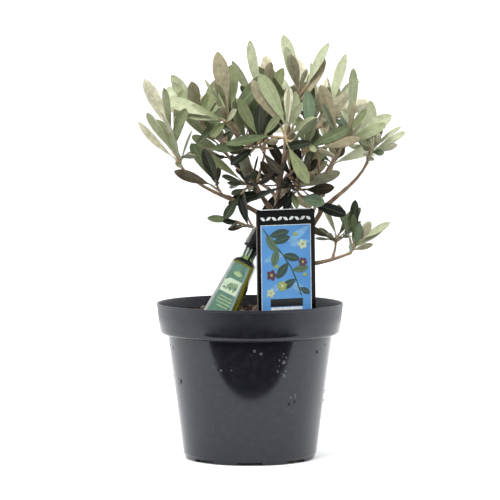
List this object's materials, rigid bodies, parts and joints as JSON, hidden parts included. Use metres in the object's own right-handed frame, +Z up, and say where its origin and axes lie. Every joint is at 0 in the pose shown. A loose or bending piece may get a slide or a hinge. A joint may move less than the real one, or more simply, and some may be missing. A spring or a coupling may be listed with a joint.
{
  "type": "potted olive tree",
  "caption": "Young bushy olive with a short leaning trunk and an open crown of narrow leaves, in a round tapering nursery pot with a plant card and a small oil bottle.",
  "frame": {"origin": "middle of the pot's flat underside, on the surface it stands on", "axes": "+Z up, -Y towards the front with the plant card, +X to the right seen from the front"},
  "size_m": [0.2422, 0.1981, 0.3846],
  "materials": {
    "pot": "black injection-moulded plastic with a soft gloss",
    "soil": "moist dark potting compost",
    "bark": "thin grey-brown to reddish young bark",
    "foliage": "grey-green leathery leaves with pale undersides",
    "card": "printed plastic plant card with a black frame",
    "bottle": null,
    "cap": "black plastic cap"
  },
  "bodies": {
    "root": {"pot": "pot", "soil": "soil", "trunk": "bark", "bough_right": "bark", "bough_right_top": "bark", "bough_far_right": "bark", "bough_low_right": "bark", "bough_low_inner": "bark", "bough_low_left": "bark", "bough_far_left": "bark", "bough_left_middle": "bark", "bough_left": "bark", "bough_left_front": "bark", "bough_left_inner": "bark", "bough_left_top": "bark", "bough_left_back": "bark", "bough_centre": "bark", "bough_top_left": "bark", "bough_top": "bark", "bough_back_right": "bark", "bough_back_top": "bark", "bough_front": "bark", "bough_front_left": "bark", "bough_front_right": "bark", "bough_centre_left": "bark", "bough_centre_right": "bark", "bough_centre_back": "bark", "bough_right_inner": "bark", "bough_back_left": "bark", "bough_back": "bark", "bough_back_low": "bark", "card": "card", "bottle": "bottle", "bottle_cap": "cap", "foliage_far_left": "foliage", "foliage_left_front": "foliage", "foliage_left_middle": "foliage", "foliage_left_inner": "foliage", "foliage_left_top": "foliage", "foliage_left_back": "foliage", "foliage_top_left": "foliage", "foliage_top": "foliage", "foliage_back_right": "foliage", "foliage_back_top": "foliage", "foliage_right_top": "foliage", "foliage_far_right": "foliage", "foliage_right_inner": "foliage", "foliage_front": "foliage", "foliage_front_left": "foliage", "foliage_front_right": "foliage", "foliage_centre_left": "foliage", "foliage_centre_right": "foliage", "foliage_centre_back": "foliage", "foliage_low_left": "foliage", "foliage_low_right": "foliage", "foliage_low_inner": "foliage", "foliage_back_left": "foliage", "foliage_back": "foliage", "foliage_back_low": "foliage"}
  },
  "joints": []
}
